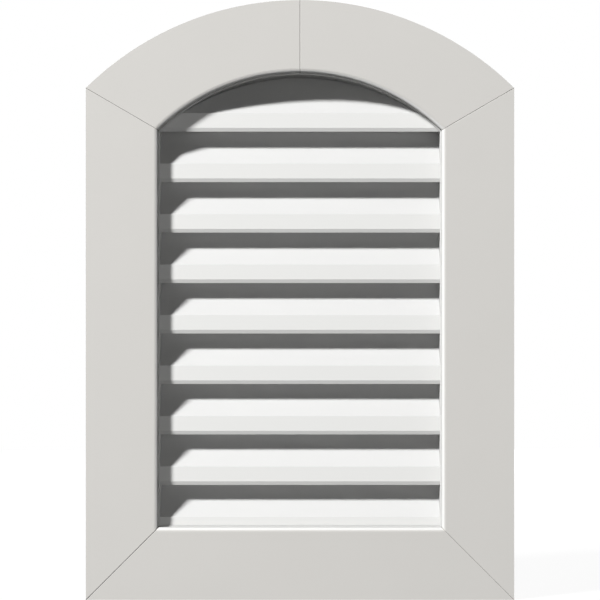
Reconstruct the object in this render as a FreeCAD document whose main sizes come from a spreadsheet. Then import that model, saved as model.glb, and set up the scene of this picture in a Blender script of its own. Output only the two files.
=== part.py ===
"""Arch-top gable vent: a flat trim of five mitred boards, a liner box that goes into the wall, nine fixed
louver slats housed in the box, and an insect screen on its back.

The frame: +X to the right seen from outside, +Y into the wall, +Z up. The origin is on the wall's face,
at the middle of the trim's bottom edge.
"""

import FreeCAD, Part
import Sketcher
import math
import os
import re

from FreeCAD import Vector

# Driving dimensions, in millimetres and degrees, with what each one measures.
SIZES = {
    "frame_width": (526.0, "trim, side to side"),
    "frame_height": (736.6, "trim, bottom edge to crown"),
    "arch_rise": (108.0, "outer arc, above its springing"),
    "opening_rise": (70.7, "inner arc, above its springing"),
    "trim_width": (88.9, "board, outer to inner edge"),
    "trim_thickness": (25.4, "board, front to back"),
    "edge_round": (5.5, "radius round the opening's front edge"),
    "joint_ease": (0.5, "bevel along each joint of the trim"),
    "rabbet_depth": (5.0, "recess in the trim's back that takes the liner"),
    "rabbet_gap": (0.2, "room round the liner in that recess"),
    "liner_thickness": (12.7, "board of the liner box"),
    "liner_depth": (66.0, "liner box, front to back"),
    "liner_step": (1.2, "liner's face inside the trim's edge"),
    "slat_count": (9, "number of slats"),
    "slat_thickness": (19.05, "slat board"),
    "slat_slope": (38.0, "slat's top face, above the horizontal"),
    "slat_setback": (2.6, "slat's front behind the liner's front edge"),
    "slat_back_gap": (1.0, "slat's back edge to the screen"),
    "top_nose_drop": (0.7, "top slat's nose below the opening's springing"),
    "sill_nose_drop": (12.5, "bottom slat's nose below the liner's sill"),
    "drip_height": (4.5, "bevel under the slat's front face, upright"),
    "drip_run": (1.9, "the same bevel, front to back"),
    "dado_depth": (4.0, "groove in the liner's sides for a slat's end"),
    "slat_gap": (0.2, "room round a slat in the liner"),
    "screen_thickness": (0.8, "screen sheet"),
    "screen_margin": (1.5, "screen's edge inside the liner's outer face"),
    "screen_hem": (9.0, "folded band round the screen"),
    "screen_bar": (3.0, "strand of the screen"),
    "screen_columns": (8, "gaps across the screen"),
    "screen_rows": (13, "gaps up the screen"),
}

# Lengths that follow from the driving dimensions.
DERIVED = {
    "half_frame": "frame_width / 2",
    "shoulder": "frame_height - arch_rise",
    "outer_radius": "(half_frame ^ 2 + arch_rise ^ 2) / (2 * arch_rise)",
    "half_opening": "half_frame - trim_width",
    "opening_crown": "frame_height - trim_width",
    "opening_shoulder": "opening_crown - opening_rise",
    "opening_radius": "(half_opening ^ 2 + opening_rise ^ 2) / (2 * opening_rise)",
    "arch_centre": "opening_crown - opening_radius",
    "liner_outside": "liner_step - liner_thickness",
    "liner_half": "half_opening - liner_step",
    "liner_floor": "trim_width + liner_step",
    "liner_back": "liner_depth - rabbet_depth",
    "slat_front": "slat_setback - rabbet_depth",
    "slat_back": "liner_back - slat_back_gap",
    "slat_rise": "slat_thickness / cos(slat_slope)",
    "slope_rise": "tan(slat_slope)",
    "top_nose": "opening_shoulder - top_nose_drop",
    "slat_pitch": "(top_nose - liner_floor + sill_nose_drop) / (slat_count - 1)",
    "screen_outside": "liner_outside + screen_margin",
    "screen_inside": "screen_outside + screen_hem",
    "screen_width": "2 * (half_opening - screen_inside)",
    "screen_height": "opening_crown - trim_width - 2 * screen_inside",
}

doc = FreeCAD.newDocument("gable_vent")
sheet = doc.addObject("Spreadsheet::Sheet", "Sizes")
for row, (alias, (number, meaning)) in enumerate(SIZES.items(), start=1):
    sheet.set(f"A{row}", meaning)
    sheet.set(f"B{row}", str(number))
    sheet.setAlias(f"B{row}", alias)
doc.recompute()


def formula(text):
    """The expression for a text that uses the sheet's aliases and the derived lengths by name."""

    def spelled(match):
        word = match.group()
        if word in DERIVED:
            return f"({formula(DERIVED[word])})"
        return f"Sizes.{word}" if word in SIZES else word

    return re.sub(r"[a-z_]+", spelled, text)


def length(text):
    """The present value of such a text."""
    return float(sheet.evalExpression(formula(text)))


def inset_outline(inset):
    """The arched opening's outline drawn in by an inset: half width, floor, springing height and radius."""
    half = f"(half_opening - ({inset}))"
    radius = f"(opening_radius - ({inset}))"
    floor = f"(trim_width + ({inset}))"
    spring = f"(arch_centre + sqrt({radius} ^ 2 - {half} ^ 2))"
    return half, floor, spring, radius


def arched(inset):
    """Corners and arc of the whole arched outline at an inset, as draw_loop takes them."""
    half, floor, spring, radius = inset_outline(inset)
    corners = [(f"-{half}", floor), (half, floor), (half, spring), (f"-{half}", spring)]
    return corners, {2: radius}


def rectangle(left, low, right, high):
    """Corners of a rectangle, as draw_loop takes them, with no arcs."""
    return [(left, low), (right, low), (right, high), (left, high)], {}


def new_body(label):
    body = doc.addObject("PartDesign::Body", label)
    body.Label = label
    return body


def new_sketch(body, name, plane, offset="0"):
    """A sketch on one of the body's own origin planes, moved along that plane's normal."""
    sketch = body.newObject("Sketcher::SketchObject", f"{body.Name}_{name}")
    origin_plane = next(f for f in body.Origin.OriginFeatures if f.Role == plane)
    sketch.AttachmentSupport = [(origin_plane, "")]
    sketch.MapMode = "FlatFace"
    sketch.setExpression("AttachmentOffset.Base.z", formula(offset))
    return sketch


def arc_centre(start, end, radius):
    """Centre of the arc that bulges upwards between two points."""
    chord = end - start
    middle = (start + end) / 2
    reach = math.sqrt(radius**2 - (chord.Length / 2) ** 2)
    across = Vector(-chord.y, chord.x, 0).normalize() * reach
    return min(middle + across, middle - across, key=lambda point: point.y)


def draw_loop(sketch, corners, arcs):
    """A closed loop through corners given as texts; arcs maps a side's number to its radius."""
    points = [Vector(length(across), length(up), 0) for across, up in corners]
    ends = []
    for side, start in enumerate(points):
        end = points[(side + 1) % len(points)]
        if side not in arcs:
            ends.append((sketch.addGeometry(Part.LineSegment(start, end)), 1, 2))
            continue
        radius = length(arcs[side])
        centre = arc_centre(start, end, radius)
        angles = [math.atan2(p.y - centre.y, p.x - centre.x) for p in (start, end)]
        circle = Part.Circle(centre, Vector(0, 0, 1), radius)
        arc = sketch.addGeometry(Part.ArcOfCircle(circle, min(angles), max(angles)))
        ends.append((arc, 1, 2) if angles[0] < angles[1] else (arc, 2, 1))
    for side, (edge, first, last) in enumerate(ends):
        following, next_first, _ = ends[(side + 1) % len(ends)]
        sketch.addConstraint(Sketcher.Constraint("Coincident", edge, last, following, next_first))
        for kind, text, value in zip(("DistanceX", "DistanceY"), corners[side], points[side]):
            pin = sketch.addConstraint(Sketcher.Constraint(kind, -1, 1, edge, first, value))
            sketch.setExpression(f"Constraints[{pin}]", formula(text))
        if side in arcs:
            bend = sketch.addConstraint(Sketcher.Constraint("Radius", edge, length(arcs[side])))
            sketch.setExpression(f"Constraints[{bend}]", formula(arcs[side]))


def pad(body, sketch, thickness, symmetric=False):
    feature = body.newObject("PartDesign::Pad", f"{sketch.Name}_pad")
    feature.Profile = sketch
    feature.SideType = "Symmetric" if symmetric else "One side"
    feature.setExpression("Length", formula(thickness))
    doc.recompute()
    return feature


def pocket(body, sketch, depth, flipped=False):
    """A pocket against the sketch's normal, or along it when flipped; no depth means through everything."""
    feature = body.newObject("PartDesign::Pocket", f"{sketch.Name}_pocket")
    feature.Profile = sketch
    feature.Reversed = flipped
    before = body.Shape.Volume
    if depth:
        feature.setExpression("Length", formula(depth))
    else:
        feature.Type = "ThroughAll"
    doc.recompute()
    if body.Shape.Volume >= before:
        raise RuntimeError(f"{feature.Name} cuts nothing")
    return feature


def pattern(body, feature, axis, reach, copies, flipped=False):
    """A row of a feature along one of the body's own axes."""
    row = body.newObject("PartDesign::LinearPattern", f"{feature.Name}_row")
    row.Originals = [feature]
    line = next(f for f in body.Origin.OriginFeatures if f.Role == axis)
    row.Direction = (line, [""])
    row.Reversed = flipped
    row.setExpression("Length", formula(reach))
    row.setExpression("Occurrences", formula(copies))
    body.Tip = row
    doc.recompute()


def edge_at(feature, point):
    """The name of the feature's edge that passes through a point."""
    vertex = Part.Vertex(point)
    distances = [edge.distToShape(vertex)[0] for edge in feature.Shape.Edges]
    return f"Edge{distances.index(min(distances)) + 1}"


def middle_of_side(corners, arcs, side, depth):
    """The middle of one side of a loop, at a depth in front of the wall."""
    start, end = (
        Vector(length(corners[n][0]), length(corners[n][1]), 0)
        for n in (side, (side + 1) % len(corners))
    )
    middle = (start + end) / 2
    if side in arcs:
        radius = length(arcs[side])
        centre = arc_centre(start, end, radius)
        middle = centre + (middle - centre).normalize() * radius
    return Vector(middle.x, -depth, middle.y)


def trim_board(label, corners, arcs, opening_side, joint_sides):
    """A trim board: its front outline, the recess for the liner, the round edge and the eased joints."""
    body = new_body(label)
    face = new_sketch(body, "face", "XZ_Plane")
    draw_loop(face, corners, arcs)
    pad(body, face, "trim_thickness")
    recess = new_sketch(body, "recess", "XZ_Plane")
    draw_loop(recess, *arched("liner_outside - rabbet_gap"))
    board = pocket(body, recess, "rabbet_depth", flipped=True)
    front = length("trim_thickness")
    easing = body.newObject("PartDesign::Chamfer", f"{label}_easing")
    joints = [edge_at(board, middle_of_side(corners, arcs, n, front)) for n in joint_sides]
    easing.Base = (board, joints)
    easing.setExpression("Size", formula("joint_ease"))
    doc.recompute()
    rounding = body.newObject("PartDesign::Fillet", f"{label}_rounding")
    inner = edge_at(easing, middle_of_side(corners, arcs, opening_side, front))
    rounding.Base = (easing, [inner])
    rounding.setExpression("Radius", formula("edge_round"))
    doc.recompute()
    return body


def trim_jamb(label, side):
    """An upright board, mitred to the sill and to the arch."""
    corners = [
        (f"{side} * half_frame", "0"),
        (f"{side} * half_frame", "shoulder"),
        (f"{side} * half_opening", "opening_shoulder"),
        (f"{side} * half_opening", "trim_width"),
    ]
    return trim_board(label, corners, {}, opening_side=2, joint_sides=(1, 3))


def trim_sill(label):
    """The bottom board, mitred to both jambs."""
    corners = [
        ("-half_frame", "0"),
        ("half_frame", "0"),
        ("half_opening", "trim_width"),
        ("-half_opening", "trim_width"),
    ]
    return trim_board(label, corners, {}, opening_side=2, joint_sides=(1, 3))


def trim_arch(label, side):
    """Half of the arched head, from the jamb's mitre to the butt joint at the crown."""
    corners = [
        (f"{side} * half_frame", "shoulder"),
        ("0", "frame_height"),
        ("0", "opening_crown"),
        (f"{side} * half_opening", "opening_shoulder"),
    ]
    arcs = {0: "outer_radius", 2: "opening_radius"}
    return trim_board(label, corners, arcs, opening_side=2, joint_sides=(1, 3))


def liner_board(label, corners, arcs):
    """A board of the liner box, from the recess in the trim to the back of the box."""
    body = new_body(label)
    end = new_sketch(body, "end", "XZ_Plane", "-liner_back")
    draw_loop(end, corners, arcs)
    pad(body, end, "liner_depth")
    return body


def liner_side(label, side):
    """An upright liner board with stopped grooves, open at the back, for the slats that end in it."""
    half, _, spring, _ = inset_outline("liner_step")
    outer_half, outer_floor, outer_spring, _ = inset_outline("liner_outside")
    corners = [
        (f"{side} * {half}", outer_floor),
        (f"{side} * {outer_half}", outer_floor),
        (f"{side} * {outer_half}", outer_spring),
        (f"{side} * {half}", spring),
    ]
    body = liner_board(label, corners, {})
    groove = new_sketch(body, "groove", "YZ_Plane", f"{side} * {half}")
    front = "(slat_front - slat_gap)"
    back = "(liner_back + slat_back_gap)"
    corners = slat_sides("top_nose - slat_pitch", front, back, "slat_gap")
    draw_loop(groove, corners, {})
    cut = pocket(body, groove, "dado_depth", flipped=side > 0)
    pattern(body, cut, "Z_Axis", "(slat_count - 2) * slat_pitch", "slat_count - 1", flipped=True)
    return body


def liner_sill(label):
    """The bottom liner board, held between the two sides."""
    half, floor, _, _ = inset_outline("liner_step")
    _, outer_floor, _, _ = inset_outline("liner_outside")
    return liner_board(label, *rectangle(f"-{half}", outer_floor, half, floor))


def liner_arch(label):
    """The bent liner board under the arched head, mitred to the sides."""
    half, _, spring, radius = inset_outline("liner_step")
    outer_half, _, outer_spring, outer_radius = inset_outline("liner_outside")
    corners = [
        (f"-{half}", spring),
        (f"-{outer_half}", outer_spring),
        (outer_half, outer_spring),
        (half, spring),
    ]
    return liner_board(label, corners, {1: outer_radius, 3: radius})


def slat_sides(nose, front, back, room):
    """Corners of an inclined board between two upright planes, with room added above and below it."""
    heel = f"({nose} - drip_run * slope_rise)"
    above = f"({heel} + slat_rise + {room} / cos(slat_slope))"
    below = f"({heel} - {room} / cos(slat_slope))"
    return [
        (front, f"{above} + ({front} - slat_front) * slope_rise"),
        (back, f"{above} + ({back} - slat_front) * slope_rise"),
        (back, f"{below} + ({back} - slat_front) * slope_rise"),
        (front, f"{below} + ({front} - slat_front) * slope_rise"),
    ]


def scribe(body, corners, arcs):
    """Cuts off what lies outside an outline: a sheet wider than the vent is pocketed away round it."""
    sketch = new_sketch(body, "scribe", "XZ_Plane", "trim_thickness")
    draw_loop(sketch, *rectangle("-frame_width", "-frame_height", "frame_width", "2 * frame_height"))
    draw_loop(sketch, corners, arcs)
    pocket(body, sketch, None)


def louver_slat(label, number):
    """An inclined slat with a plumb front and a drip bevel, cut to the liner's inside."""
    body = new_body(label)
    nose = f"(top_nose - {number - 1} * slat_pitch)"
    section = new_sketch(body, "section", "YZ_Plane")
    corners = slat_sides(nose, "slat_front", "slat_back", "0")[:3]
    corners.append(("slat_front + drip_run", nose))
    corners.append(("slat_front", f"{nose} + drip_height"))
    draw_loop(section, corners, {})
    pad(body, section, "2 * (liner_half + dado_depth)", symmetric=True)
    if number == 1:
        scribe(body, *arched("liner_step + slat_gap"))
    else:
        scribe(body, *housed_outline())
    return body


def housed_outline():
    """The liner's inside with ears that reach into the grooves below the springing."""
    half, floor, spring, radius = inset_outline("liner_step + slat_gap")
    ear = "(liner_half + dado_depth - slat_gap)"
    corners = [(f"-{ear}", floor), (ear, floor), (ear, spring)]
    corners += [(half, spring), (f"-{half}", spring), (f"-{ear}", spring)]
    return corners, {3: radius}


def insect_screen(label):
    """The screen: a hem that laps the liner's back edges and a grid of strands across the opening."""
    body = new_body(label)
    plane = "-(liner_back + screen_thickness)"
    hem = new_sketch(body, "hem", "XZ_Plane", plane)
    draw_loop(hem, *arched("screen_outside"))
    draw_loop(hem, *arched("screen_inside"))
    pad(body, hem, "screen_thickness")
    edge = "(half_opening - screen_outside)"
    low = "(trim_width + screen_outside)"
    high = "(opening_crown - screen_outside)"

    column = "(screen_width / screen_columns)"
    left = f"({column} - screen_width / 2 - screen_bar / 2)"
    upright = new_sketch(body, "upright", "XZ_Plane", plane)
    draw_loop(upright, *rectangle(left, low, f"{left} + screen_bar", high))
    strand = pad(body, upright, "screen_thickness")
    pattern(body, strand, "X_Axis", f"screen_width - 2 * {column}", "screen_columns - 1")

    row = "(screen_height / screen_rows)"
    under = f"(trim_width + screen_inside + {row} - screen_bar / 2)"
    level = new_sketch(body, "level", "XZ_Plane", plane)
    draw_loop(level, *rectangle(f"-{edge}", under, edge, f"{under} + screen_bar"))
    strand = pad(body, level, "screen_thickness")
    pattern(body, strand, "Z_Axis", f"screen_height - 2 * {row}", "screen_rows - 1")

    scribe(body, *arched("screen_outside"))
    return body


LEFT, RIGHT = -1, 1
parts = [
    trim_jamb("trim_left_jamb", LEFT),
    trim_jamb("trim_right_jamb", RIGHT),
    trim_sill("trim_sill"),
    trim_arch("trim_arch_left", LEFT),
    trim_arch("trim_arch_right", RIGHT),
    liner_side("liner_left", LEFT),
    liner_side("liner_right", RIGHT),
    liner_sill("liner_sill"),
    liner_arch("liner_arch"),
]
for number in range(1, int(sheet.slat_count) + 1):
    parts.append(louver_slat(f"louver_slat_{number}", number))
parts.append(insect_screen("insect_screen"))
doc.recompute()

for item in doc.Objects:
    if {"Invalid", "Error"} & set(item.State):
        raise RuntimeError(f"{item.Name} failed: {item.State}")
for part in parts:
    if part.Shape.isNull() or not part.Shape.isValid() or len(part.Shape.Solids) != 1:
        raise RuntimeError(f"{part.Label} is not one sound solid")

os.makedirs("parts", exist_ok=True)
for part in parts:
    part.Shape.exportStep(os.path.join("parts", f"{part.Label}.step"))
    print(part.Label, round(part.Shape.Volume), "mm3")
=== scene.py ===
"""Arch-top gable vent, dressed for rendering: white cellular PVC boards round nine fixed louvers.

Lengths are in metres, in the frame of the solids: +X to the right seen from outside, +Y into the wall,
+Z up.
"""

import math
import random

import bmesh
import bpy
from mathutils import Matrix, Vector


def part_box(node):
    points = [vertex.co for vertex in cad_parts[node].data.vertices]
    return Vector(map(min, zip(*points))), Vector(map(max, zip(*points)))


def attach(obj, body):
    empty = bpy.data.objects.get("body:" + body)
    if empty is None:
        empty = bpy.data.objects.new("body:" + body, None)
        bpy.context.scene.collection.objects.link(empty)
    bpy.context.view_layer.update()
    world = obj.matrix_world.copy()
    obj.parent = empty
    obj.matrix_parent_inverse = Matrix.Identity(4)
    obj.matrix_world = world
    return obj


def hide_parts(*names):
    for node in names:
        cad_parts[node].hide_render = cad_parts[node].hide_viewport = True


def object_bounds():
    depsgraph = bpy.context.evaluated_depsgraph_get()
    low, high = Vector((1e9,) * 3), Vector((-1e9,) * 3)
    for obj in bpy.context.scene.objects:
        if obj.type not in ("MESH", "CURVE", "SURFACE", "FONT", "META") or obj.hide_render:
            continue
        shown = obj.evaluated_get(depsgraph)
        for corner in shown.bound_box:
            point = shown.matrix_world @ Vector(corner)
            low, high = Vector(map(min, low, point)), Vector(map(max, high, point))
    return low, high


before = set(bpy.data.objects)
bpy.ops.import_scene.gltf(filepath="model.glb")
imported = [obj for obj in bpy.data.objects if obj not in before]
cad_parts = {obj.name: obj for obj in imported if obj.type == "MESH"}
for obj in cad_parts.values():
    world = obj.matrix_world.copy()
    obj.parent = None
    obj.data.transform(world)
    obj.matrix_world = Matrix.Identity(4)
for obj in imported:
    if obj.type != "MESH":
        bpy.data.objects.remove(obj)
cad_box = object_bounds()

# The liner box: four boards, 12.7 mm thick, glued together at the corners, that go into the wall's opening.
# They are ripped from white cellular PVC sheet, which leaves a satin face with faint marks of the planer.
MM = 0.001


def linear(shade):
    """An sRGB hex colour as the linear colour that a shader takes."""
    channels = [int(shade[n : n + 2], 16) / 255 for n in (1, 3, 5)]
    return [c / 12.92 if c <= 0.04045 else ((c + 0.055) / 1.055) ** 2.4 for c in channels] + [1]


def add_node(tree, kind, inputs, **settings):
    """A node with its settings; inputs gives each socket a value, or the node or output that feeds it.

    A node feeds a socket from the first output that its settings leave in use.
    """
    node = tree.nodes.new(kind)
    for name, value in settings.items():
        setattr(node, name, value)
    for socket, value in inputs.items():
        if isinstance(value, bpy.types.Node):
            value = next(output for output in value.outputs if output.enabled)
        if isinstance(value, bpy.types.NodeSocket):
            tree.links.new(value, node.inputs[socket])
        else:
            node.inputs[socket].default_value = value
    return node


def new_material(name):
    """A plain material, with its node tree, its shader and its coordinates."""
    material = bpy.data.materials.new(name)
    material.use_nodes = True
    tree = material.node_tree
    place = add_node(tree, "ShaderNodeTexCoord", {}).outputs["Object"]
    return material, tree, tree.nodes["Principled BSDF"], place


def planed_face(tree, shader, place, board_length, marked=1):
    """The surface that all the boards share: closed cells, and planer marks where it is marked.

    A soft mottle is returned for the colour. The cells are a third of a millimetre wide, and are drawn
    four times as wide, so that they show in a close view.
    """
    mottle_size, mark_width, mark_length, cell_size = 70 * MM, 2.5 * MM, 260 * MM, 1.3 * MM
    mark_depth, cell_depth = 0.010 * MM, 0.006 * MM
    shiniest, dullest = 0.46, 0.58
    mottle = add_node(tree, "ShaderNodeTexNoise", {"Vector": place, "Scale": 1 / mottle_size, "Detail": 3})
    stretch = [1 / (mark_length if axis == board_length else mark_width) for axis in "XYZ"]
    along = add_node(tree, "ShaderNodeMapping", {"Vector": place, "Scale": stretch})
    marks = add_node(tree, "ShaderNodeTexNoise", {"Vector": along, "Scale": 1, "Detail": 2})
    cells = add_node(tree, "ShaderNodeTexNoise", {"Vector": place, "Scale": 1 / cell_size, "Detail": 1})
    gloss = add_node(tree, "ShaderNodeMapRange", {"Value": marks, "To Min": shiniest, "To Max": dullest})
    planing = {"Height": marks, "Distance": mark_depth, "Strength": marked}
    planed = add_node(tree, "ShaderNodeBump", planing)
    celled = add_node(tree, "ShaderNodeBump", {"Height": cells, "Distance": cell_depth, "Normal": planed})
    tree.links.new(gloss.outputs["Result"], shader.inputs["Roughness"])
    tree.links.new(celled.outputs["Normal"], shader.inputs["Normal"])
    shader.inputs["IOR"].default_value = 1.53
    shader.inputs["Specular IOR Level"].default_value = 0.35
    return mottle


def white_pvc(name, board_length):
    """Planed cellular PVC: a clean, faintly warm white with a dull satin shine."""
    material, tree, shader, place = new_material(name)
    mottle = planed_face(tree, shader, place, board_length)
    shades = {"A": linear("#DBDBD9"), "B": linear("#DEDEDC")}
    white = add_node(tree, "ShaderNodeMix", {"Factor": mottle, **shades}, data_type="RGBA")
    tree.links.new(white.outputs["Result"], shader.inputs["Base Color"])
    return material


def dress(material, *names):
    """Gives the solids of these names their finish."""
    for name in names:
        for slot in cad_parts[name].material_slots:
            slot.material = material


dress(white_pvc("planed_pvc_upright", "Z"), "liner_left", "liner_right")
dress(white_pvc("planed_pvc_level", "X"), "liner_sill", "liner_arch")

# The louvers: nine inclined slats of 19 mm PVC board with plumb fronts and a drip bevel under each front.
# Their ends are glued into the grooves of the liner's sides, and the top one is cut to fit the arch.
SLAT_SKIN = "#DADAD9", "#DDDDDC"
SLAT_CORE = "#E1E1DF"
SLAT_FACE_LIMITS = 0.75, 0.7


def skinned_pvc(name, board_length, skin, core, face_axis, face_limits):
    """Cellular PVC sheet: a rolled skin on the broad faces, and a whiter core where it was cut or rounded.

    The broad faces are those whose normals lie along an axis: all skin where their share of it is above the
    first limit, and all core below the second.
    """
    material, tree, shader, place = new_material(name)
    facing = add_node(tree, "ShaderNodeNewGeometry", {}).outputs["True Normal"]
    lean = add_node(tree, "ShaderNodeSeparateXYZ", {"Vector": facing}).outputs[face_axis]
    share = add_node(tree, "ShaderNodeMath", {0: lean}, operation="ABSOLUTE")
    all_skin, all_core = face_limits
    cut = add_node(tree, "ShaderNodeMapRange", {"Value": share, "From Min": all_skin, "From Max": all_core})
    uncut = add_node(tree, "ShaderNodeMath", {0: 1, 1: cut}, operation="SUBTRACT")
    mottle = planed_face(tree, shader, place, board_length, uncut)
    shades = {"A": linear(skin[0]), "B": linear(skin[1])}
    face = add_node(tree, "ShaderNodeMix", {"Factor": mottle, **shades}, data_type="RGBA")
    layers = {"Factor": cut, "A": face, "B": linear(core)}
    colour = add_node(tree, "ShaderNodeMix", layers, data_type="RGBA")
    tree.links.new(colour.outputs["Result"], shader.inputs["Base Color"])
    return material, tree, shader, place


slats = [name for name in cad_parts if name.startswith("louver_slat")]
slat_pvc = skinned_pvc("skinned_pvc_slat", "X", SLAT_SKIN, SLAT_CORE, "Z", SLAT_FACE_LIMITS)[0]
dress(slat_pvc, *slats)

# The trim: five PVC boards, 25.4 mm thick, mitred and glued round the opening so that they lap the wall.
# Their skin is a warmer grey than the slats, and the glue at the joints has caught a hair of dirt. The
# joint
# lines also carry painted shade: darkest at the lower left, whose groove lies across the light, palest at
# the lower right.
TRIM_SKIN = "#C8C6C2", "#CBC9C5"
TRIM_CORE = "#E6E6E4"
TRIM_FACE_LIMITS = 0.96, 0.82
# Painted light: a paler tone on the front bevels beside each joint, which lifts the shade of the V-groove.
BEVEL_PAINTED_LIGHT = "#DBD9D5"
EASED_WIDTH = 0.8 * MM
SILL_GAP = 0.76 * MM
HEAD_GAP = 0.58 * MM
EDGE_BLUR = 0.1
# Joint lines are glue dirt and painted shade: the sill mitre's left line is nearly black because its groove
# lies in shade, and its right line is pale because light runs along it.
SILL_DIRT_AND_SHADE = "#1F1E1C", "#B4B2AD"
HEAD_DIRT_AND_SHADE = "#8A8883", "#8A8883"
CROWN_DIRT_AND_SHADE = "#7C7A75", "#7C7A75"


def jointed_pvc(name, board_length, joints):
    """The trim's sheet: dirt and painted shade along each joint, and painted light on the front bevels
    beside it.

    A joint is two points of its right-hand half, the width of its gap, and the shades of the dirt and
    painted shade in it at the left and at the right. The edges of the lines fade over a small share of
    their width.
    """
    finish = TRIM_SKIN, TRIM_CORE, "Y", TRIM_FACE_LIMITS
    material, tree, shader, place = skinned_pvc(name, board_length, *finish)
    colour = shader.inputs["Base Color"].links[0].from_node
    mirrored = add_node(tree, "ShaderNodeVectorMath", {0: place}, operation="ABSOLUTE")
    spot = add_node(tree, "ShaderNodeSeparateXYZ", {"Vector": place}).outputs
    on_right = add_node(tree, "ShaderNodeMath", {0: spot["X"], 1: 0}, operation="GREATER_THAN")
    front = cad_box[0].y + 2 * EASED_WIDTH
    in_front = add_node(tree, "ShaderNodeMath", {0: spot["Y"], 1: front}, operation="LESS_THAN")
    for start, end, width, dirt_and_shade in joints:
        across = (end - start).cross((0, 1, 0)).normalized()
        level = add_node(tree, "ShaderNodeVectorMath", {0: mirrored, 1: across}, operation="DOT_PRODUCT")
        offset = add_node(tree, "ShaderNodeMath", {0: level, 1: across.dot(start)}, operation="SUBTRACT")
        away = add_node(tree, "ShaderNodeMath", {0: offset}, operation="ABSOLUTE")
        gap_edge = {"From Min": (0.5 + EDGE_BLUR) * width, "From Max": (0.5 - EDGE_BLUR) * width}
        gap = add_node(tree, "ShaderNodeMapRange", {"Value": away, **gap_edge})
        # Painted light: the front bevels beside the joint are painted paler to lift the shade of the
        # V-groove.
        painted_light_edge = {"From Min": EASED_WIDTH, "From Max": (1 - EDGE_BLUR) * EASED_WIDTH}
        painted_light_band = add_node(tree, "ShaderNodeMapRange", {"Value": away, **painted_light_edge, "To Max": in_front})
        painted_light_mix = {"Factor": painted_light_band, "A": colour, "B": linear(BEVEL_PAINTED_LIGHT)}
        board_and_light = add_node(tree, "ShaderNodeMix", painted_light_mix, data_type="RGBA")
        # Glue dirt and painted shade in the joint line, with its own tone at the left and at the right.
        shades = {"A": linear(dirt_and_shade[0]), "B": linear(dirt_and_shade[1])}
        stain_and_shade = add_node(tree, "ShaderNodeMix", {"Factor": on_right, **shades}, data_type="RGBA")
        surface = {"Factor": gap, "A": board_and_light, "B": stain_and_shade}
        colour = add_node(tree, "ShaderNodeMix", surface, data_type="RGBA")
    tree.links.new(colour.outputs["Result"], shader.inputs["Base Color"])
    return material


jamb_low, jamb_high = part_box("trim_right_jamb")
sill_low, sill_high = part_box("trim_sill")
arch_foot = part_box("trim_arch_right")[0].z
outer_corner = Vector((jamb_high.x, 0, sill_low.z))
inner_corner = Vector((jamb_low.x, 0, sill_high.z))
sill_mitre = outer_corner, inner_corner, SILL_GAP, SILL_DIRT_AND_SHADE
outer_shoulder = Vector((jamb_high.x, 0, jamb_high.z))
inner_shoulder = Vector((jamb_low.x, 0, arch_foot))
head_mitre = outer_shoulder, inner_shoulder, HEAD_GAP, HEAD_DIRT_AND_SHADE
crown_joint = Vector((0, 0, 0)), Vector((0, 0, cad_box[1].z)), HEAD_GAP, CROWN_DIRT_AND_SHADE
jamb_pvc = jointed_pvc("skinned_pvc_jamb", "Z", [sill_mitre, head_mitre])
dress(jamb_pvc, "trim_left_jamb", "trim_right_jamb")
sill_pvc = jointed_pvc("skinned_pvc_sill", "X", [sill_mitre])
dress(sill_pvc, "trim_sill")
arch_pvc = jointed_pvc("skinned_pvc_arch", "X", [head_mitre, crown_joint])
dress(arch_pvc, "trim_arch_left", "trim_arch_right")

# The insect screen: stiff wire mesh with a charcoal coat, cut to the box's arch, its edge folded to a hem.
# The real wires lie 1.5 mm apart. They are drawn 2.4 mm apart, so that single ones show in a render.
WIRE_PITCH = 2.4 * MM
WIRE_WIDTH = 0.45 * MM
HEM_WIDTH = 9 * MM
HEM_THICKNESS = 0.45 * MM
HEM_OVERLAP = 1 * MM
HEM_STEPS = 48
COAT_ROUGHNESS = 0.5

screen_low, screen_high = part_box("insect_screen")
screen_half = screen_high.x
liner_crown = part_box("liner_arch")[1].z
liner_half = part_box("liner_right")[1].x
liner_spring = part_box("liner_right")[1].z
liner_rise = liner_crown - liner_spring
liner_radius = (liner_half**2 + liner_rise**2) / (2 * liner_rise)
arch_centre = Vector((0, screen_low.y, liner_crown - liner_radius))
screen_radius = screen_high.z - arch_centre.z


def coated_wire():
    """Vinyl-coated aluminium wire: charcoal, with the dull shine of soft plastic and a slight fleck."""
    material, tree, shader, place = new_material("vinyl_coated_wire")
    fleck_size = 4 * MM
    fleck = add_node(tree, "ShaderNodeTexNoise", {"Vector": place, "Scale": 1 / fleck_size, "Detail": 2})
    shades = {"A": linear("#3A3B3C"), "B": linear("#4C4D4E")}
    colour = add_node(tree, "ShaderNodeMix", {"Factor": fleck, **shades}, data_type="RGBA")
    tree.links.new(colour.outputs["Result"], shader.inputs["Base Color"])
    shader.inputs["Roughness"].default_value = COAT_ROUGHNESS
    return material


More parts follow.
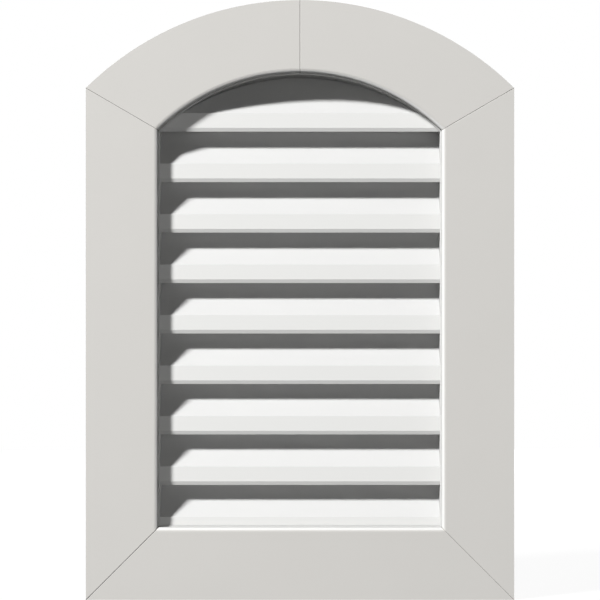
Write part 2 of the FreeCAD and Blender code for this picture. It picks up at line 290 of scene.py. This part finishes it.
def folded_mesh():
    """The hem: two layers of the mesh pressed flat, with painted shade in the small gaps between their
    wires.
    """
    material, tree, shader, place = new_material("folded_wire_mesh")
    wire_relief = 0.15 * MM
    gap_level, wire_level = -0.4, 0.9
    spot = add_node(tree, "ShaderNodeSeparateXYZ", {"Vector": place}).outputs
    turns = 2 * math.pi / (WIRE_PITCH / 2)
    waves = []
    for axis in "XZ":
        angle = add_node(tree, "ShaderNodeMath", {0: spot[axis], 1: turns}, operation="MULTIPLY")
        waves.append(add_node(tree, "ShaderNodeMath", {0: angle}, operation="COSINE"))
    crests = add_node(tree, "ShaderNodeMath", {0: waves[0], 1: waves[1]}, operation="MAXIMUM")
    levels = {"From Min": gap_level, "From Max": wire_level}
    wires = add_node(tree, "ShaderNodeMapRange", {"Value": crests, **levels})
    relief = add_node(tree, "ShaderNodeBump", {"Height": wires, "Distance": wire_relief})
    # Painted shade: the gaps between the wires are darker than the wire's coat.
    shades = {"A": linear("#232425"), "B": linear("#4E4F51")}
    colour = add_node(tree, "ShaderNodeMix", {"Factor": wires, **shades}, data_type="RGBA")
    tree.links.new(colour.outputs["Result"], shader.inputs["Base Color"])
    tree.links.new(relief.outputs["Normal"], shader.inputs["Normal"])
    shader.inputs["Roughness"].default_value = COAT_ROUGHNESS
    return material


def half_chord(distance, radius):
    """Half the length of a circle's chord at a distance from its centre."""
    return math.sqrt(max(radius**2 - distance**2, 0))


def add_hem(shape):
    """The hem: the arched outline as one face, inset to a band and given its thickness.

    It takes the second of the screen's two finishes.
    """
    spring_height = arch_centre.z + half_chord(screen_half, screen_radius)
    spring = shape.verts.new((screen_half, screen_low.y, spring_height))
    bmesh.ops.spin(
        shape,
        geom=[spring],
        cent=arch_centre,
        axis=(0, -1, 0),
        angle=2 * math.asin(screen_half / screen_radius),
        steps=HEM_STEPS,
    )
    arch = list(shape.verts)
    feet = [shape.verts.new((side * screen_half, screen_low.y, screen_low.z)) for side in (-1, 1)]
    sheet = shape.faces.new(arch + feet)
    sheet.normal_update()
    bmesh.ops.inset_region(
        shape, faces=[sheet], thickness=HEM_WIDTH, use_boundary=True, use_even_offset=True
    )
    bmesh.ops.delete(shape, geom=[sheet], context="FACES")
    band = bmesh.ops.extrude_face_region(shape, geom=shape.faces[:])
    raised = [item for item in band["geom"] if isinstance(item, bmesh.types.BMVert)]
    bmesh.ops.translate(shape, verts=raised, vec=(0, HEM_THICKNESS, 0))
    bmesh.ops.recalc_face_normals(shape, faces=shape.faces[:])
    for face in shape.faces:
        face.material_index = 1


def add_wire(shape, low, high):
    """A straight wire, as the box between two corners."""
    middle = Matrix.Translation((low + high) / 2)
    bmesh.ops.create_cube(shape, size=1, matrix=middle @ Matrix.Diagonal((*(high - low), 1)))


def add_object(name, shape, *materials):
    """A mesh object made from a bmesh."""
    mesh = bpy.data.meshes.new(name)
    shape.to_mesh(mesh)
    shape.free()
    for material in materials:
        mesh.materials.append(material)
    made = bpy.data.objects.new(name, mesh)
    bpy.context.scene.collection.objects.link(made)
    return made


mesh_half = screen_half - HEM_WIDTH + HEM_OVERLAP
mesh_foot = screen_low.z + HEM_WIDTH - HEM_OVERLAP
mesh_radius = screen_radius - HEM_WIDTH + HEM_OVERLAP
mesh_crown = arch_centre.z + mesh_radius
screen_shape = bmesh.new()
add_hem(screen_shape)
layer = HEM_THICKNESS / 2
columns = int(2 * mesh_half / WIRE_PITCH)
for column in range(columns + 1):
    x = (column - columns / 2) * WIRE_PITCH
    top = arch_centre.z + half_chord(x, mesh_radius)
    add_wire(
        screen_shape,
        Vector((x - WIRE_WIDTH / 2, screen_low.y, mesh_foot)),
        Vector((x + WIRE_WIDTH / 2, screen_low.y + layer, top)),
    )
rows = int((mesh_crown - mesh_foot) / WIRE_PITCH)
for row in range(1, rows):
    z = mesh_foot + row * WIRE_PITCH
    reach = min(mesh_half, half_chord(max(z - arch_centre.z, 0), mesh_radius))
    add_wire(
        screen_shape,
        Vector((-reach, screen_low.y + layer, z - WIRE_WIDTH / 2)),
        Vector((reach, screen_low.y + 2 * layer, z + WIRE_WIDTH / 2)),
    )
screen = add_object("screen_wires", screen_shape, coated_wire(), folded_mesh())
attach(screen, "root")
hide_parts("insect_screen")

# The staples: galvanised wire, 12 mm across the crown, driven through the hem into the liner's back edges.
# A hand stapler sets them about a hand's width apart, none quite in line with the next.
STAPLE_CROWN = 12 * MM
STAPLE_WIDTH = 1.3 * MM
STAPLE_DEPTH = screen_high.y - screen_low.y - HEM_THICKNESS
STAPLE_ROUNDING = 0.4 * STAPLE_DEPTH
STAPLE_SPACING = 95 * MM
STAPLE_TURN = math.radians(7)


def galvanised_wire():
    """Galvanised steel wire: a bright zinc grey, cloudy and half dull."""
    material, tree, shader, place = new_material("galvanised_wire")
    cloud_size = 2 * MM
    cloud = add_node(tree, "ShaderNodeTexNoise", {"Vector": place, "Scale": 1 / cloud_size, "Detail": 2})
    dull = add_node(tree, "ShaderNodeMapRange", {"Value": cloud, "To Min": 0.3, "To Max": 0.5})
    tree.links.new(dull.outputs["Result"], shader.inputs["Roughness"])
    shader.inputs["Metallic"].default_value = 1
    shader.inputs["Base Color"].default_value = linear("#B4B7B9")
    return material


def add_staple(shape, place, heading):
    """A staple's crown, flat on the hem, its outer edges rounded and its length along a heading."""
    size = Matrix.Diagonal((STAPLE_CROWN, STAPLE_DEPTH, STAPLE_WIDTH, 1))
    crown = bmesh.ops.create_cube(shape, size=1, matrix=size)["verts"]
    edges = {edge for vertex in crown for edge in vertex.link_edges}
    rounded = bmesh.ops.bevel(
        shape,
        geom=[edge for edge in edges if all(vertex.co.y > 0 for vertex in edge.verts)],
        offset=STAPLE_ROUNDING,
        affect="EDGES",
        segments=2,
        profile=0.5,
        material=-1,
    )
    staple = {vertex for face in rounded["faces"] for vertex in face.verts}
    staple |= {vertex for vertex in crown if vertex.is_valid}
    seat = Matrix.Translation((place.x, screen_high.y - STAPLE_DEPTH / 2, place.z))
    turn = Matrix.Rotation(heading, 4, "Y")
    bmesh.ops.transform(shape, matrix=seat @ turn, verts=list(staple))


draw = random.Random(7)
staple_shape = bmesh.new()
hem_half = screen_half - HEM_WIDTH / 2
hem_foot = screen_low.z + HEM_WIDTH / 2
hem_radius = screen_radius - HEM_WIDTH / 2
hem_spring = arch_centre.z + half_chord(hem_half, hem_radius)
up_count = int((hem_spring - hem_foot) / STAPLE_SPACING)
for number in range(up_count):
    z = hem_foot + (number + 0.5) * (hem_spring - hem_foot) / up_count
    for side in (-1, 1):
        slip = draw.uniform(-1, 1)
        point = Vector((side * hem_half, 0, z + slip * STAPLE_CROWN / 2))
        add_staple(staple_shape, point, math.pi / 2 + slip * STAPLE_TURN)
across_count = int(2 * hem_half / STAPLE_SPACING)
for number in range(across_count):
    x = -hem_half + (number + 0.5) * 2 * hem_half / across_count
    slip = draw.uniform(-1, 1)
    point = Vector((x + slip * STAPLE_CROWN / 2, 0, hem_foot))
    add_staple(staple_shape, point, slip * STAPLE_TURN)
arch_half_angle = math.asin(hem_half / hem_radius)
arch_count = int(2 * arch_half_angle * hem_radius / STAPLE_SPACING)
for number in range(arch_count):
    slip = draw.uniform(-1, 1)
    angle = -arch_half_angle + (number + 0.5) * 2 * arch_half_angle / arch_count
    point = arch_centre + hem_radius * Vector((math.sin(angle), 0, math.cos(angle)))
    add_staple(staple_shape, point, angle + slip * STAPLE_TURN)
staples = add_object("screen_staples", staple_shape, galvanised_wire())
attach(staples, "root")

# The studio: the vent stands on a white paper sheet that fades into a white room.
# A key lamp up and to the left draws the soft-edged shadows, and weak lamps in front and behind open them.
# Only a share of the light is passed on from board to board, and a side lamp shows the right-hand side.
FLOOR_SPAN = 8
PAPER_GLOW = 0.93
ROOM_LIGHT = 0.012
KEY_DIRECTION = Vector((-0.549, -0.644, 0.533)).normalized()
KEY_DISTANCE = 12
KEY_ANGLE = math.radians(9)
KEY_POWER = 2045
KEY_SHARE_PASSED_ON = 0.21
FRONT_DIRECTION = Vector((0, -1, 0))
FRONT_DISTANCE = 6
FRONT_SPAN = 1.2
FRONT_POWER = 39
BACK_DIRECTION = Vector((-0.55, 0.82, -0.25)).normalized()
BACK_DISTANCE = 4
BACK_SPAN = 1.6
BACK_POWER = 95
REAR_DIRECTION = Vector((0.25, 0.96, 0.1)).normalized()
REAR_POWER = 75
SIDE_DIRECTION = Vector((0.96, 0.22, 0.17)).normalized()
SIDE_DISTANCE = 4
SIDE_SPAN = 1
SIDE_POWER = 75
BOUNCES_PASSED_ON = 8


def paper_sheet():
    """The floor: paper that its own glow keeps near white, a little darker in the vent's shadow."""
    material, tree, shader, _ = new_material("white_paper")
    tree.nodes.remove(shader)
    shadow = add_node(tree, "ShaderNodeBsdfDiffuse", {"Color": linear("#595959")})
    glow = add_node(tree, "ShaderNodeEmission", {"Strength": PAPER_GLOW})
    paper = add_node(tree, "ShaderNodeAddShader", {0: shadow, 1: glow})
    tree.links.new(paper.outputs["Shader"], tree.nodes["Material Output"].inputs["Surface"])
    return material


def add_lamp(name, direction, distance, span, power, share_passed_on=0):
    """A round lamp that looks at the middle of the vent from a direction.

    It has two parts: light that stops where it falls, and the share that is passed on.
    """
    parts = {
        name: (1 - share_passed_on, 0),
        f"{name}_passed_on": (share_passed_on, BOUNCES_PASSED_ON),
    }
    for part, (share, bounces) in parts.items():
        if share == 0:
            continue
        lamp = bpy.data.lights.new(part, "AREA")
        lamp.shape = "DISK"
        lamp.size = span
        lamp.energy = power * share
        lamp.cycles.max_bounces = bounces
        holder = bpy.data.objects.new(part, lamp)
        holder.location = middle_of_vent + direction * distance
        holder.rotation_euler = (-direction).to_track_quat("-Z", "Y").to_euler()
        holder.visible_camera = False
        bpy.context.scene.collection.objects.link(holder)


floor_shape = bmesh.new()
bmesh.ops.create_grid(floor_shape, x_segments=1, y_segments=1, size=FLOOR_SPAN / 2)
floor = add_object("floor", floor_shape, paper_sheet())
floor.visible_diffuse = False
floor.visible_shadow = False

# The room is white where it is seen, also in a mirror or through glass, and dim where it lights the vent.
room = bpy.data.worlds.new("room")
room.use_nodes = True
tree = room.node_tree
ray = add_node(tree, "ShaderNodeLightPath", {}).outputs
rays_on = {0: ray["Is Glossy Ray"], 1: ray["Is Transmission Ray"]}
sent_on = add_node(tree, "ShaderNodeMath", rays_on, operation="MAXIMUM")
seen = add_node(tree, "ShaderNodeMath", {0: ray["Is Camera Ray"], 1: sent_on}, operation="MAXIMUM")
dim = add_node(tree, "ShaderNodeBackground", {"Strength": ROOM_LIGHT, "Color": linear("#FFFFFF")})
white = add_node(tree, "ShaderNodeBackground", {"Color": linear("#FFFFFF")})
backdrop = add_node(tree, "ShaderNodeMixShader", {0: seen, 1: dim, 2: white})
tree.links.new(backdrop.outputs["Shader"], tree.nodes["World Output"].inputs["Surface"])
bpy.context.scene.world = room

middle_of_vent = (cad_box[0] + cad_box[1]) / 2
key_span = 2 * KEY_DISTANCE * math.tan(KEY_ANGLE / 2)
add_lamp("key_lamp", KEY_DIRECTION, KEY_DISTANCE, key_span, KEY_POWER, KEY_SHARE_PASSED_ON)
add_lamp("front_lamp", FRONT_DIRECTION, FRONT_DISTANCE, FRONT_SPAN, FRONT_POWER)
add_lamp("back_lamp", BACK_DIRECTION, BACK_DISTANCE, BACK_SPAN, BACK_POWER, share_passed_on=1)
add_lamp("rear_lamp", REAR_DIRECTION, BACK_DISTANCE, BACK_SPAN, REAR_POWER)
add_lamp("side_lamp", SIDE_DIRECTION, SIDE_DISTANCE, SIDE_SPAN, SIDE_POWER)

# The photograph's view: straight on, level with the middle of the vent, whose height fills the frame.
# The camera stands well back, so that the slats look alike from the top one to the bottom one.
VIEW_DISTANCE = 4
camera_data = bpy.data.cameras.new("camera")
vent_height = cad_box[1].z - cad_box[0].z
camera_data.lens = camera_data.sensor_width * VIEW_DISTANCE / vent_height
camera = bpy.data.objects.new("camera", camera_data)
camera.location = (0, cad_box[0].y - VIEW_DISTANCE, middle_of_vent.z)
camera.rotation_euler = (math.pi / 2, 0, 0)
bpy.context.scene.collection.objects.link(camera)
bpy.context.scene.camera = camera
bpy.context.scene.view_settings.view_transform = "Standard"
